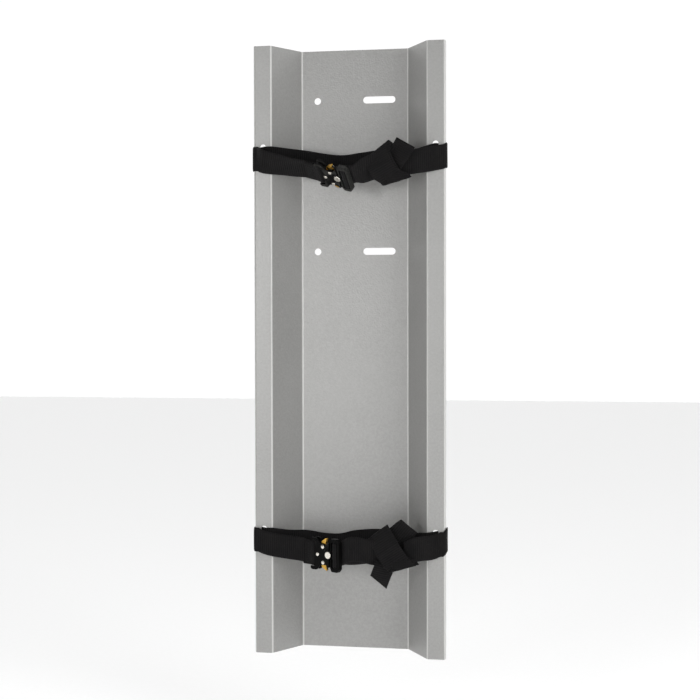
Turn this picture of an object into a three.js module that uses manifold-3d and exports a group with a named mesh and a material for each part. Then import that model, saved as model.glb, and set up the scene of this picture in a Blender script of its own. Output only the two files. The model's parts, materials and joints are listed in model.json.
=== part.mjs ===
// Wall holder for one gas cylinder: a folded sheet-metal channel that is screwed flat to a wall,
// and two webbing straps threaded through slots in its flanges, each closed by a metal buckle with
// two spring latches. Millimetres. +Z is up, the wall is the plane y = 0 and the front is -Y. The
// origin is the middle of the channel's rear face.
import * as THREE from 'three'
import { mergeVertices } from 'three/addons/utils/BufferGeometryUtils.js'
import Module from 'manifold-3d'

const wasm = await Module()
wasm.setup()

// ---- driving dimensions -------------------------------------------------------------------
const CHANNEL = {
  height: 650,
  sheet: 1.5,
  backHalf: 58.1, // centre line to the fold between back and side wall
  wallOut: 25.5, // how far each side wall leans outward
  wallForward: 41.2, // and forward
  flange: 19.2,
  lip: 8,
  innerBend: 1.2,
}
const MOUTH = -CHANNEL.sheet - CHANNEL.wallForward // y of the flanges' front face
const EDGE = CHANNEL.backHalf + CHANNEL.wallOut + CHANNEL.flange // x of the lips' outer face

const WALL_HOLE = { diameter: 7.5, x: -41, slotFrom: 9.1, slotTo: 44.5, rows: [270.9, 107.3] }
const STRAP_SLOT = { x: 92.5, width: 6.4, length: 29, rows: [206.1, -202.3] }

const WEB = { width: 26, thick: 1.3 }
const GAP = 0.3 // between pieces that touch

// Buckle sizes, in the buckle's own frame: x from its female end to its male end, y up, z out of its
// face. "half" is half a thickness, measured both ways from mid-thickness.
const PLATE = { inner: 1.8, outer: 4, mouth: 4.7 } // mouth is the radius cut out for the disc rivet
const PIVOT = { x: -3.6, y: 8.4 } // the latch pivots, mirrored in y
const REAR_RIVET_X = -11
const DISC_X = 2.6
const RIVET = { shank: 1, hole: 1.3, head: 2, proud: 0.7 }
const DISC = { shank: 2.2, hole: 2.5, head: 4.1, from: 2.9, to: 4.2 }
const HEAD = { flat: 0.6, rim: 0.25 } // a head's flat part of its radius, and the height of its edge
const BAR = { x: -18.5, radius: 1.5, length: 33 }
const TONGUE = { half: 1.3, tip: -14.4, tipHalf: 2.6, barbAt: -11.6, barbEnd: -11, barb: 4.7, neck: 3.4 }
const FORK = { half: 1.6, end: -8.6 } // the slot up the middle of the tongue
const ROOT = { from: -0.5, to: 5.9, half: 4.4 } // the tongue's wide end, held in the frame
const FRAME = { half: 2.5, left: 4.7, leftHalf: 13.4, upTo: 14.4, right: 17.2, rightHalf: 14, up: 17.5 }
const WINDOW = { half: 13.6, from: 6.6, to: 14.8 }
const LUG = 4 // radius of the frame's two cheeks round the disc rivet
const SLIDER = { from: 9.4, to: 11.9, half: 1.1 } // the frame's crossbar that the webbing folds round
const LAYERS = { end: 19, near: -3.8, far: -5.45 } // the fold's two ends, behind the frame
const SPRING = { radius: 1.75, wire: 0.45, turns: 2.25, pitch: 0.5, from: 0.4, leg: 4.6, rise: 1 }
const SPRING_HOLE = { radius: 0.6, depth: 1.2 } // blind, in the front plate, for the spring's fixed leg
const LATCH = { half: 1.3, pocket: 2.4, pocketFloor: -0.1, legRoom: 0.5, legReach: 5.4 }
const THROUGH = 9 // half the length of a tool that cuts right through a buckle piece

// Each level: where its buckle hangs (centre, heading out from the wall plane, dip, roll of its face)
// and the webbing's centre line as [x, y, z, roll]; roll tips the upper edge forward, in degrees.
const LEVELS = [
  {
    name: 'upper',
    buckle: { centre: [-10.2, -56.5, 183.7], heading: 17, dip: 14, roll: 52 },
    sewnEnd: 22,
    leftRun: [
      [-48, -49.5, 193.4, 51],
      [-59, -50.5, 194.8, 46],
      [-70, -51, 197.2, 39],
      [-82, -51, 199.4, 31],
      [-92, -49.6, 202, 16],
    ],
    lipZ: [205, 205.7],
    innerRun: [
      [-67, -35, 203.4, 4],
      [-47, -31.6, 201, 6],
      [-29, -31, 197.8, 8],
      [-8, -31, 195.6, 8],
      [12, -31, 197.8, 7],
      [36, -31, 200.4, 5],
      [67, -35, 202.6, 2],
    ],
    rightRun: [
      [91, -46.6, 202, 1],
      [83, -49.5, 200, 1],
      [73, -55.5, 198.2, 0],
    ],
    frontRun: [
      [18, -64, 187.2, 32],
      [24.5, -63, 190.6, 16],
      [31, -61.6, 192.6, 6],
    ],
    knot: [
      [32, 209], [45, 219.4], [49.6, 216.4], [63, 202.5], [72, 205], [72, 188], [66, 179.7], [45, 174],
      [36, 180.3],
    ],
    tail: [[50.8, 217.6], [54.6, 221.7], [72.5, 211.5], [69.6, 204.9], [63.2, 203]],
  },
  {
    name: 'lower',
    buckle: { centre: [-20, -57, -214.5], heading: 31, dip: 0, roll: 1 },
    sewnEnd: 16,
    leftRun: [
      [-51, -42.3, -212.2, 4],
      [-61, -43.2, -210.8, 5],
      [-74, -45.6, -208.8, 6],
      [-86, -47.2, -206.6, 5],
      [-94, -46.7, -204.2, 2],
    ],
    lipZ: [-202.6, -202.6],
    innerRun: [
      [-67, -35, -205.6, 2],
      [-47, -31.6, -205.8, 3],
      [-29, -31, -208.4, 5],
      [-12, -31, -208.6, 5],
      [4, -31, -204.8, 3],
      [30, -31, -202.8, 2],
      [67, -35, -202.8, 0],
    ],
    rightRun: [
      [92, -46.6, -203.6, 0],
      [87, -49, -204.2, 0],
      [79, -54, -205, 0],
    ],
    frontRun: [
      [10, -66.4, -212.6, 2],
      [19, -65, -210.4, 2],
      [28.4, -62, -209.4, 2],
    ],
    knot: [
      [30, -219], [30, -199], [37, -185.2], [44, -179.8], [57.5, -176], [66.5, -181], [76, -190.5],
      [78.3, -219.5], [75.5, -223], [53.7, -229.1], [50.2, -227.9],
    ],
    tail: [[29.8, -221.6], [26.3, -231.1], [27.1, -235.1], [42, -249.1], [49.4, -229.9], [49.4, -228]],
  },
]
const KNOT = { back: -56, front: -65 }
const TAIL_THICK = 1.6

// ---- materials ----------------------------------------------------------------------------
const paint = (color, roughness, metalness) =>
  new THREE.MeshStandardMaterial({ color, roughness, metalness })
const GREY_PAINT = paint(0xa9a9a7, 0.5, 0.35)
const WEBBING = paint(0x17171a, 0.9, 0)
const BLACK_METAL = paint(0x1a1a1b, 0.42, 0.6)
const GOLD_METAL = paint(0xc8952f, 0.3, 0.9)
const SILVER_METAL = paint(0xd6d3ca, 0.25, 0.95)
const STEEL = paint(0x8e8f91, 0.35, 0.9)

// ---- helpers ------------------------------------------------------------------------------
const degrees = THREE.MathUtils.degToRad

function toManifold(geometry) {
  const bare = geometry.clone()
  bare.deleteAttribute('normal')
  bare.deleteAttribute('uv')
  const merged = mergeVertices(bare, 1e-4)
  return new wasm.Manifold(
    new wasm.Mesh({
      numProp: 3,
      vertProperties: new Float32Array(merged.attributes.position.array),
      triVerts: new Uint32Array(merged.index.array),
    }),
  )
}

function toGeometry(manifold) {
  const mesh = manifold.getMesh()
  const geometry = new THREE.BufferGeometry()
  geometry.setAttribute('position', new THREE.BufferAttribute(mesh.vertProperties, 3))
  geometry.setIndex(new THREE.BufferAttribute(mesh.triVerts, 1))
  return geometry
}

function cut(base, ...tools) {
  let solid = toManifold(base)
  for (const tool of tools) solid = solid.subtract(toManifold(tool))
  return toGeometry(solid)
}

// A slab of the given outline in x and y, from height low to height high.
function slab(outline, low, high) {
  const points = (list) => list.map(([x, y]) => new THREE.Vector2(x, y))
  const shape = outline instanceof THREE.Shape ? outline : new THREE.Shape(points(outline))
  const options = { depth: high - low, bevelEnabled: false, curveSegments: 6 }
  return new THREE.ExtrudeGeometry(shape, options).translate(0, 0, low)
}

function block(x0, x1, y0, y1, z0, z1) {
  const box = new THREE.BoxGeometry(x1 - x0, y1 - y0, z1 - z0)
  return box.translate((x0 + x1) / 2, (y0 + y1) / 2, (z0 + z1) / 2)
}

// A round tool or pin along z.
function rod(x, y, radius, low = -THROUGH, high = THROUGH, sides = 20) {
  return new THREE.CylinderGeometry(radius, radius, high - low, sides)
    .rotateX(Math.PI / 2)
    .translate(x, y, (low + high) / 2)
}

// A slot with round ends, between two centres on a vertical or horizontal line.
function roundSlot(x0, y0, x1, y1, radius) {
  const turn = Math.atan2(y1 - y0, x1 - x0)
  const shape = new THREE.Shape()
  shape.absarc(x1, y1, radius, turn - Math.PI / 2, turn + Math.PI / 2)
  shape.absarc(x0, y0, radius, turn + Math.PI / 2, turn + Math.PI * 1.5)
  return shape
}

// The same outline on both sides of the x axis.
function mirrored(half) {
  return [...half, ...half.map(([x, y]) => [x, -y]).reverse()]
}

// A flat band through the given sections. Each section is { at, up }: a point of the centre line
// and the way that the band's width points there.
function band(sections, thick) {
  const count = sections.length - 1
  const geometry = new THREE.BoxGeometry(count, WEB.width, thick, count, 1, 1)
  const position = geometry.attributes.position
  const frames = sections.map((section, i) => {
    const before = sections[Math.max(i - 1, 0)].at
    const after = sections[Math.min(i + 1, count)].at
    const along = new THREE.Vector3().subVectors(after, before).normalize()
    return { ...section, side: new THREE.Vector3().crossVectors(along, section.up).normalize() }
  })
  for (let i = 0; i < position.count; i += 1) {
    const { at, up, side } = frames[Math.round(position.getX(i) + count / 2)]
    const point = at.clone().addScaledVector(up, position.getY(i)).addScaledVector(side, position.getZ(i))
    position.setXYZ(i, point.x, point.y, point.z)
  }
  return mergeVertices(geometry.deleteAttribute('normal').deleteAttribute('uv'), 1e-5)
}

// The width direction of a band that stands upright and tips its upper edge forward by roll degrees.
function tipped(roll) {
  return new THREE.Vector3(0, -Math.sin(degrees(roll)), Math.cos(degrees(roll)))
}

// Evenly spaced sections on a smooth curve through the stations.
function smooth(stations, steps) {
  const curve = new THREE.CatmullRomCurve3(stations.map(([x, y, z]) => new THREE.Vector3(x, y, z)))
  const last = stations.length - 1
  return Array.from({ length: steps + 1 }, (_, i) => {
    const t = i / steps
    const k = Math.min(Math.floor(t * last), last - 1)
    const roll = THREE.MathUtils.lerp(stations[k][3], stations[k + 1][3], t * last - k)
    return { at: curve.getPoint(t), up: tipped(roll) }
  })
}

// Sections on an arc in plan, in the plane of constant height.
function arc(x, y, radius, from, to, z0, z1, steps) {
  return Array.from({ length: steps + 1 }, (_, i) => {
    const t = i / steps
    const turn = degrees(THREE.MathUtils.lerp(from, to, t))
    const z = THREE.MathUtils.lerp(z0, z1, t)
    const at = new THREE.Vector3(x + radius * Math.cos(turn), y + radius * Math.sin(turn), z)
    return { at, up: tipped(0) }
  })
}

// ---- the channel --------------------------------------------------------------------------
// The front surface of one half, from the centre outward, and the same line one sheet behind it.
function channelOutline() {
  const { backHalf, sheet, wallOut, innerBend, lip } = CHANNEL
  const wallEnd = backHalf + wallOut
  const line = [[0, -sheet], [backHalf, -sheet], [wallEnd, MOUTH], [EDGE, MOUTH], [EDGE, MOUTH + lip]]
  const bends = [null, { inside: 'front' }, { inside: 'back' }, { inside: 'back' }, null]
  const front = []
  const behind = []
  line.forEach(([x, y], i) => {
    const before = line[Math.max(i - 1, 0)]
    const after = line[Math.min(i + 1, line.length - 1)]
    const into = new THREE.Vector2(x - before[0], y - before[1]).normalize()
    const outOf = new THREE.Vector2(after[0] - x, after[1] - y).normalize()
    if (!bends[i]) {
      const way = i === 0 ? outOf : into
      const left = new THREE.Vector2(-way.y, way.x)
      front.push([x, y])
      behind.push([x + left.x * sheet, y + left.y * sheet])
      return
    }
    // The bend's centre lies on the inside; the front face is nearer or farther by one sheet.
    const turn = Math.acos(into.dot(outOf))
    const insideFront = bends[i].inside === 'front'
    const sign = insideFront ? -1 : 1
    const frontRadius = insideFront ? innerBend : innerBend + sheet
    const behindRadius = insideFront ? innerBend + sheet : innerBend
    const back = frontRadius * Math.tan(turn / 2)
    const centre = [
      x - into.x * back - into.y * sign * frontRadius,
      y - into.y * back + into.x * sign * frontRadius,
    ]
    const start = Math.atan2(-into.x * sign, into.y * sign)
    const steps = 5
    for (let k = 0; k <= steps; k += 1) {
      const angle = start + (sign * turn * k) / steps
      front.push([centre[0] + frontRadius * Math.cos(angle), centre[1] + frontRadius * Math.sin(angle)])
      behind.push([centre[0] + behindRadius * Math.cos(angle), centre[1] + behindRadius * Math.sin(angle)])
    }
  })
  const half = [...front, ...behind.reverse()]
  const right = half.filter(([x]) => x > 1e-6)
  return [...right, ...right.map(([x, y]) => [-x, y]).reverse()]
}

function channelGeometry() {
  const body = slab(channelOutline(), -CHANNEL.height / 2, CHANNEL.height / 2)
  const radius = WALL_HOLE.diameter / 2
  const tools = []
  const intoWall = (shape) => slab(shape, -5, 5).rotateX(Math.PI / 2)
  for (const z of WALL_HOLE.rows) {
    tools.push(intoWall(roundSlot(WALL_HOLE.x - 0.001, z, WALL_HOLE.x + 0.001, z, radius)))
    tools.push(intoWall(roundSlot(WALL_HOLE.slotFrom + radius, z, WALL_HOLE.slotTo - radius, z, radius)))
  }
  const end = (STRAP_SLOT.length - STRAP_SLOT.width) / 2
  for (const z of STRAP_SLOT.rows) {
    for (const x of [-STRAP_SLOT.x, STRAP_SLOT.x]) {
      tools.push(intoWall(roundSlot(x, z - end, x, z + end, STRAP_SLOT.width / 2)).translate(0, MOUTH, 0))
    }
  }
  return cut(body, ...tools)
}

// ---- buckle pieces ------------------------------------------------------------------------
// One of the female body's two plates: waisted, with two ears behind that hold the webbing bar.
function plateGeometry(side) {
  const outline = mirrored([
    [-14.6, 8], [-15, 13.4], [-21.6, 13.4], [-21.6, 15.6], [-20, 17], [-13.8, 17], [-11.8, 15.6],
    [-8.8, 11.6], [-6.6, 10.8], [0.6, 10.8], [2.6, 13], [4.2, 13], [4.2, 6],
  ])
  const low = side > 0 ? PLATE.inner : -PLATE.outer
  const high = side > 0 ? PLATE.outer : -PLATE.inner
  const tools = [
    rod(DISC_X, 0, PLATE.mouth, -THROUGH, THROUGH, 28),
    rod(REAR_RIVET_X, 0, RIVET.hole),
  ]
  for (const s of [-1, 1]) {
    tools.push(rod(PIVOT.x, s * PIVOT.y, RIVET.hole))
    if (side < 0) continue
    const x = PIVOT.x + SPRING.radius
    tools.push(rod(x, s * PIVOT.y, SPRING_HOLE.radius, 0, PLATE.inner + SPRING_HOLE.depth, 10))
  }
  return cut(slab(outline, low, high), ...tools)
}

// Rivet with a low domed head at both ends.
function rivetGeometry(shank, head, headFrom, headTo) {
  const flat = head * HEAD.flat
  const edge = headFrom + HEAD.rim
  const upper = [[shank, headFrom], [head, headFrom], [head, edge], [flat, headTo], [0, headTo]]
  const profile = [...upper.map(([x, y]) => [x, -y]).reverse(), ...upper]
  const points = profile.map(([x, y]) => new THREE.Vector2(x, y))
  return new THREE.LatheGeometry(points, 20).rotateX(Math.PI / 2)
}

// A latch, drawn for the +y side: its hook reaches left, its press tab right and outward. A round
// pocket in its upper face holds the spring, and a channel beside it the spring's moving leg.
function latchGeometry(side) {
  const outline = [
    [-10.6, 5], [-8.8, 5], [-8.4, 7.4], [-6.6, 7.4], [-6, 6.2], [-5, 5.3], [-3.6, 5], [-2.2, 5.3],
    [-0.8, 6.4], [-0.3, 8.2], [-0.9, 10], [-2.2, 11.6], [-1.4, 14.4], [-0.6, 16.8], [-1.4, 17.3],
    [-5.2, 15.4], [-8.2, 13.4], [-8.4, 12.4], [-7.6, 11.4], [-8, 10.6], [-9.6, 10.5], [-11, 9],
  ].map(([x, y]) => [x, y * side])
  if (side < 0) outline.reverse()
  const body = slab(outline, -LATCH.half, LATCH.half)
  const y = side * PIVOT.y
  const leg = y + side * SPRING.radius
  const { legReach, legRoom, pocket, pocketFloor } = LATCH
  return cut(
    body,
    rod(PIVOT.x, y, RIVET.hole),
    rod(PIVOT.x, y, pocket, pocketFloor, THROUGH, 24),
    block(PIVOT.x - legReach, PIVOT.x, leg - legRoom, leg + legRoom, 0.1, THROUGH),
  )
}

// Torsion spring round a pivot: one leg in the latch's channel, one leg up into the top plate.
class SpringCurve extends THREE.Curve {
  constructor(side) {
    super()
    this.side = side
  }

  getPoint(t, target = new THREE.Vector3()) {
    const y = this.side * PIVOT.y
    const { radius, turns, pitch, from, leg, rise } = SPRING
    // shares of the curve: the straight leg, tangent to the coil, then the coil, then the rise
    const legEnd = 0.14
    const riseStart = 0.96
    if (t < legEnd) {
      const reach = (1 - t / legEnd) * leg
      return target.set(PIVOT.x - reach, y + this.side * radius, from)
    }
    const coil = Math.min((t - legEnd) / (riseStart - legEnd), 1)
    const lift = Math.max((t - riseStart) / (1 - riseStart), 0) * rise
    const angle = Math.PI / 2 - coil * turns * 2 * Math.PI
    const x = PIVOT.x + radius * Math.cos(angle)
    return target.set(x, y + this.side * radius * Math.sin(angle), from + coil * turns * pitch + lift)
  }
}

function circleShape(radius, sides) {
  const points = Array.from({ length: sides }, (_, i) => {
    const angle = (2 * Math.PI * i) / sides
    return new THREE.Vector2(radius * Math.cos(angle), radius * Math.sin(angle))
  })
  return new THREE.Shape(points)
}

function springGeometry(side) {
  const wire = circleShape(SPRING.wire / 2, 6)
  const options = { steps: 44, bevelEnabled: false, extrudePath: new SpringCurve(side) }
  return new THREE.ExtrudeGeometry(wire, options)
}

// Forked steel tongue with a barb on each side for the latches' hooks.
function tongueGeometry() {
  const { half, tip, tipHalf, barbAt, barbEnd, barb, neck } = TONGUE
  const outline = mirrored([
    [FORK.end, FORK.half], [tip, FORK.half], [tip, tipHalf], [barbAt, barb], [barbEnd, barb],
    [barbEnd, neck], [ROOT.from, neck], [ROOT.from, ROOT.half], [ROOT.to, ROOT.half],
  ])
  return cut(slab(outline, -half, half), rod(DISC_X, 0, DISC.hole))
}

// Frame with a window, a fixed crossbar in it and two cheeks that hold the tongue.
function frameGeometry() {
  const { half, left, leftHalf, upTo, right, rightHalf, up } = FRAME
  const outline = mirrored([[left, leftHalf], [WINDOW.from, up], [upTo, up], [right, rightHalf]])
  const lug = rod(DISC_X, 0, LUG, -half, half, 28)
  const neck = block(DISC_X, left + 1, -LUG, LUG, -half, half)
  const joined = [lug, neck].reduce(
    (solid, piece) => solid.add(toManifold(piece)),
    toManifold(slab(outline, -half, half)),
  )
  const clear = TONGUE.half + GAP
  const side = ROOT.half + GAP
  const barSpan = [SLIDER.from - 1, SLIDER.to + 1, -WINDOW.half, WINDOW.half]
  return cut(
    toGeometry(joined),
    block(WINDOW.from, SLIDER.from, -WINDOW.half, WINDOW.half, -THROUGH, THROUGH),
    block(SLIDER.to, WINDOW.to, -WINDOW.half, WINDOW.half, -THROUGH, THROUGH),
    // the crossbar is thinner than the rim
    block(...barSpan, SLIDER.half, THROUGH),
    block(...barSpan, -THROUGH, -SLIDER.half),
    // the tongue's pocket, open into the window
    block(-THROUGH, WINDOW.from + 1, -side, side, -clear, clear),
    rod(DISC_X, 0, DISC.hole),
  )
}

// ---- webbing ------------------------------------------------------------------------------
function buckleMatrix({ centre, heading, dip, roll }) {
  const h = degrees(heading)
  const d = degrees(dip)
  const r = degrees(roll)
  const along = new THREE.Vector3(Math.cos(h) * Math.cos(d), -Math.sin(h) * Math.cos(d), -Math.sin(d))
  const levelFace = new THREE.Vector3(-Math.sin(h), -Math.cos(h), 0)
  const levelUp = new THREE.Vector3().crossVectors(levelFace, along)
  const up = levelUp.clone().multiplyScalar(Math.cos(r)).addScaledVector(levelFace, Math.sin(r))
  const face = new THREE.Vector3().crossVectors(along, up)
  return new THREE.Matrix4().makeBasis(along, up, face).setPosition(...centre)
}

// Sections given in the buckle's frame as [x, z], carried into the object's frame.
function inBuckle(matrix, points) {
  const up = new THREE.Vector3().setFromMatrixColumn(matrix, 1)
  return points.map(([x, z]) => ({ at: new THREE.Vector3(x, 0, z).applyMatrix4(matrix), up }))
}

// The roll at which a band that runs along the buckle has the buckle's own up direction.
function rollOf(matrix) {
  const along = new THREE.Vector3().setFromMatrixColumn(matrix, 0)
  const up = new THREE.Vector3().setFromMatrixColumn(matrix, 1)
  up.addScaledVector(along, -up.x / along.x)
  return THREE.MathUtils.radToDeg(Math.atan2(-up.y, up.z))
}

function strapGeometry(level, matrix) {
  const roll = rollOf(matrix)
  const reach = BAR.radius + GAP + WEB.thick / 2
  const layer = WEB.thick / 2 + GAP / 2
  const loop = [[BAR.x - level.sewnEnd, layer], [BAR.x - 8, layer + 0.1], [BAR.x - 3.6, layer + 0.9]]
  for (let turn = 100; turn >= -100; turn -= 25) {
    loop.push([BAR.x + reach * Math.cos(degrees(turn)), reach * Math.sin(degrees(turn))])
  }
  loop.push([BAR.x - 3.6, -layer - 0.9], [BAR.x - 8, -layer - 0.1])
  const start = inBuckle(matrix, loop)
  const leave = inBuckle(matrix, [[BAR.x - level.sewnEnd * 0.7, -layer]])[0]
  const leaveStation = [leave.at.x, leave.at.y, leave.at.z, roll]

  const off = GAP + WEB.thick / 2
  const frontY = MOUTH - off
  const crossY = frontY - WEB.thick - GAP - 0.6
  const lipEnd = MOUTH + CHANNEL.lip
  const lipX = EDGE + off
  const slotX = STRAP_SLOT.x - 0.3
  const [zl, zr] = level.lipZ

  // round a lip: side -1 is the left flange, going from the front face to the slot behind it
  const wrap = (side, z) => [
    ...arc(EDGE - 2.4, MOUTH + 2.4, 2.4 + off, -90, 0, z, z, 4),
    ...arc(EDGE - CHANNEL.sheet / 2, lipEnd, CHANNEL.sheet / 2 + off, 0, 150, z, z, 6),
  ].map(({ at, up }) => ({ at: new THREE.Vector3(at.x * side, at.y, at.z), up }))
  // out of the slot towards the middle
  const emerge = (side, z) => [
    [slotX + 0.6, MOUTH + 1.6], [slotX - 0.2, MOUTH - 0.1], [slotX - 1.7, frontY + 0.1],
    [slotX - 4.4, frontY - 0.25],
  ].map(([x, y]) => ({ at: new THREE.Vector3(x * side, y, z), up: tipped(0) }))

  const leftFront = [...level.leftRun, [-EDGE + 4.6, crossY + 0.7, zl, 0]]
  const rightFront = [[EDGE - 4.6, crossY + 1.5, zr, 0], ...level.rightRun]
  const innerStart = emerge(-1, zl)
  const innerEnd = emerge(1, zr).reverse()
  const inner = [
    [-slotX + 9.6, frontY - 0.2, zl, 0], ...level.innerRun, [slotX - 9.6, frontY - 0.2, zr, 0],
  ]
  const sections = [
    ...start,
    ...smooth([leaveStation, ...leftFront], 24),
    ...wrap(-1, zl),
    ...innerStart,
    ...smooth(inner, 40),
    ...innerEnd,
    ...wrap(1, zr).reverse(),
    ...smooth(rightFront, 12),
  ]
  return band(sections, WEB.thick)
}

// The webbing folded round the frame's crossbar, in the buckle's frame.
function adjusterFoldGeometry(matrix) {
  const path = [
    [LAYERS.end, LAYERS.near], [15.4, LAYERS.near], [14.1, -3.3], [13.4, -2], [13.3, 0.2], [12.9, 1.5],
    [11.9, 2.1], [10.6, 2.15], [9.4, 2.1], [8.3, 1.5], [8, 0.3], [8, -2.6], [8.4, -4.2], [9.8, -5.2],
    [12.5, LAYERS.far], [LAYERS.end, LAYERS.far],
  ]
  return band(inBuckle(matrix, path), WEB.thick)
}

// The two layers of webbing between the buckle and the knot, as one solid.
function frontRunGeometry(level, matrix) {
  const middle = (LAYERS.near + LAYERS.far) / 2
  const start = inBuckle(matrix, [[LAYERS.end + GAP, middle], [LAYERS.end + 1.3, middle]])
  const { x, y, z } = inBuckle(matrix, [[LAYERS.end + 2.3, middle]])[0].at
  const run = smooth([[x, y, z, rollOf(matrix)], ...level.frontRun], 8)
  return band([...start, ...run], 2 * WEB.thick + GAP)
}

// ---- assembly -----------------------------------------------------------------------------
const object = new THREE.Group()

function add(parent, name, geometry, material) {
  const mesh = new THREE.Mesh(geometry, material)
  mesh.name = name
  parent.add(mesh)
  return mesh
}

// A slab whose outline is in x and z, between two depths.
function uprightSlab(outline, front, back) {
  return slab(outline, -back, -front).rotateX(Math.PI / 2)
}

function addBuckle(name, matrix) {
  const buckle = new THREE.Group()
  buckle.applyMatrix4(matrix)
  object.add(buckle)

  add(buckle, `${name}_buckle_front_plate`, plateGeometry(1), BLACK_METAL)
  add(buckle, `${name}_buckle_rear_plate`, plateGeometry(-1), BLACK_METAL)
  const bar = new THREE.CylinderGeometry(BAR.radius, BAR.radius, BAR.length, 16).translate(BAR.x, 0, 0)
  add(buckle, `${name}_webbing_bar`, bar, STEEL)
  const headFrom = PLATE.outer + GAP
  const small = rivetGeometry(RIVET.shank, RIVET.head, headFrom, headFrom + RIVET.proud)
  add(buckle, `${name}_rear_rivet`, small.clone().translate(REAR_RIVET_X, 0, 0), SILVER_METAL)
  for (const [side, place] of [[1, 'top'], [-1, 'bottom']]) {
    const pivot = small.clone().translate(PIVOT.x, side * PIVOT.y, 0)
    add(buckle, `${name}_${place}_pivot_rivet`, pivot, SILVER_METAL)
    add(buckle, `${name}_${place}_latch`, latchGeometry(side), GOLD_METAL)
    add(buckle, `${name}_${place}_latch_spring`, springGeometry(side), STEEL)
  }
  add(buckle, `${name}_tongue`, tongueGeometry(), STEEL)
  add(buckle, `${name}_adjuster_frame`, frameGeometry(), BLACK_METAL)
  const disc = rivetGeometry(DISC.shank, DISC.head, DISC.from, DISC.to).translate(DISC_X, 0, 0)
  add(buckle, `${name}_disc_rivet`, disc, SILVER_METAL)
}

add(object, 'wall_channel', channelGeometry(), GREY_PAINT)
for (const level of LEVELS) {
  const matrix = buckleMatrix(level.buckle)
  addBuckle(level.name, matrix)
  add(object, `${level.name}_strap`, strapGeometry(level, matrix), WEBBING)
  add(object, `${level.name}_strap_adjuster_fold`, adjusterFoldGeometry(matrix), WEBBING)
  add(object, `${level.name}_strap_front_run`, frontRunGeometry(level, matrix), WEBBING)
  add(object, `${level.name}_strap_knot`, uprightSlab(level.knot, KNOT.front, KNOT.back), WEBBING)
  const middle = (KNOT.front + KNOT.back) / 2
  const tail = uprightSlab(level.tail, middle - TAIL_THICK / 2, middle + TAIL_THICK / 2)
  add(object, `${level.name}_strap_tail`, tail, WEBBING)
}

export default object
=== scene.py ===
"""Wall holder for one gas cylinder: a folded grey channel and two webbing straps with metal buckles.

Shapes are worked out in millimetres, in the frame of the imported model, and turned into metres when a
mesh is made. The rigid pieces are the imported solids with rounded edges; the webbing is made here.
"""
import json
import math

import bmesh
import bpy
import numpy as np
from mathutils import Matrix, Vector


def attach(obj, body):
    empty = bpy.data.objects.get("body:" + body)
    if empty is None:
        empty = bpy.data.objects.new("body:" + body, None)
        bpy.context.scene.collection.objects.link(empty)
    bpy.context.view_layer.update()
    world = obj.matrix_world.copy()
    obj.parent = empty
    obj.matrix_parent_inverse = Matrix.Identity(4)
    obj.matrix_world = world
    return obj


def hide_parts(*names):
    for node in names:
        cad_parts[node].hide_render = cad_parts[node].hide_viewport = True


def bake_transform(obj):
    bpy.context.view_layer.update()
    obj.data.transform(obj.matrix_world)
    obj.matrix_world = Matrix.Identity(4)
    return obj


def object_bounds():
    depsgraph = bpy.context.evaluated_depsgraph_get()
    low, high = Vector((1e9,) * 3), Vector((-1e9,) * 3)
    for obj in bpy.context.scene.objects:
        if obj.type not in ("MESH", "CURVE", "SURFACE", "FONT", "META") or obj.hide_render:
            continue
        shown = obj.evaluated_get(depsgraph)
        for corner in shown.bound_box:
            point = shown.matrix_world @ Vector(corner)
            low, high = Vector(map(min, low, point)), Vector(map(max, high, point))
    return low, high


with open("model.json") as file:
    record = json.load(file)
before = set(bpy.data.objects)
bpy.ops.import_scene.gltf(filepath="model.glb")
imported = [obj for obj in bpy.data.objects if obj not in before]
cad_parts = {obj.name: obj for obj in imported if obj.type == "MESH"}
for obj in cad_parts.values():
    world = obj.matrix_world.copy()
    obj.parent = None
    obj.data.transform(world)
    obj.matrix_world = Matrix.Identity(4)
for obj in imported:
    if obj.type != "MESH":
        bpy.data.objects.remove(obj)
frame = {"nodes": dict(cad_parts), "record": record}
CAD_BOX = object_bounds()
JOINTS = {joint["name"]: joint for joint in frame["record"]["behaviour"]["joints"]}
HOLDER = "holder"
MM = 0.001
UP = np.array([0.0, 0.0, 1.0])
RIGHT = np.array([1.0, 0.0, 0.0])
FRONT = np.array([0.0, -1.0, 0.0])

# ---- driving dimensions, in millimetres -----------------------------------------------------
MOUTH = -42.7  # y of the flanges' front face
EDGE = 102.8  # x of the lips' outer face
SHEET = 1.5
LIP = 8.0
LIP_BEND = 2.4  # radius of the bend between a flange and its lip
HIGHLIGHT_FOLDS = (58.1, 83.6, 102.2)  # x of the channel's bends, where a pale line of painted highlight lies on the paint
SLOT_X = 92.2  # where the webbing passes the strap slot

WEB_WIDTH = 26.0
HALF_WIDTH = WEB_WIDTH / 2
WEB_HALF = 0.6  # half the webbing's thickness
WEB_CAD = 1.3  # thickness of the webbing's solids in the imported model
EDGE_ROUND = 0.9  # how far the selvedge's rounding reaches in
RIB_PITCH = 2.3
RIB_HEIGHT = 0.13
RIB_STEP = 0.5
YARN_PITCH = 0.9  # across the webbing
PICK_PITCH = 1.15  # along it
ROUTE_STEP = 0.25  # spacing of the rows that a route is worked out on
SEAM = 10.5  # how far the stitching stands from the webbing's middle
GAP = 0.3

PIVOT_X = -3.6  # the latch pivots' place along the buckle
PIVOT_Y = 8.4  # and their height over its middle line
REAR_RIVET_X = -11.0
DISC_X = 2.6
BAR_X = -18.5
BAR_RADIUS = 1.5
BAR_REACH = 16.5  # half the bar's length
BAR_CHAMFER = 0.3
FOLD = 1.15  # radius of a crease in doubled webbing
TILT_REACH = 9.0  # how soon a free end reaches its full lean

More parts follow.
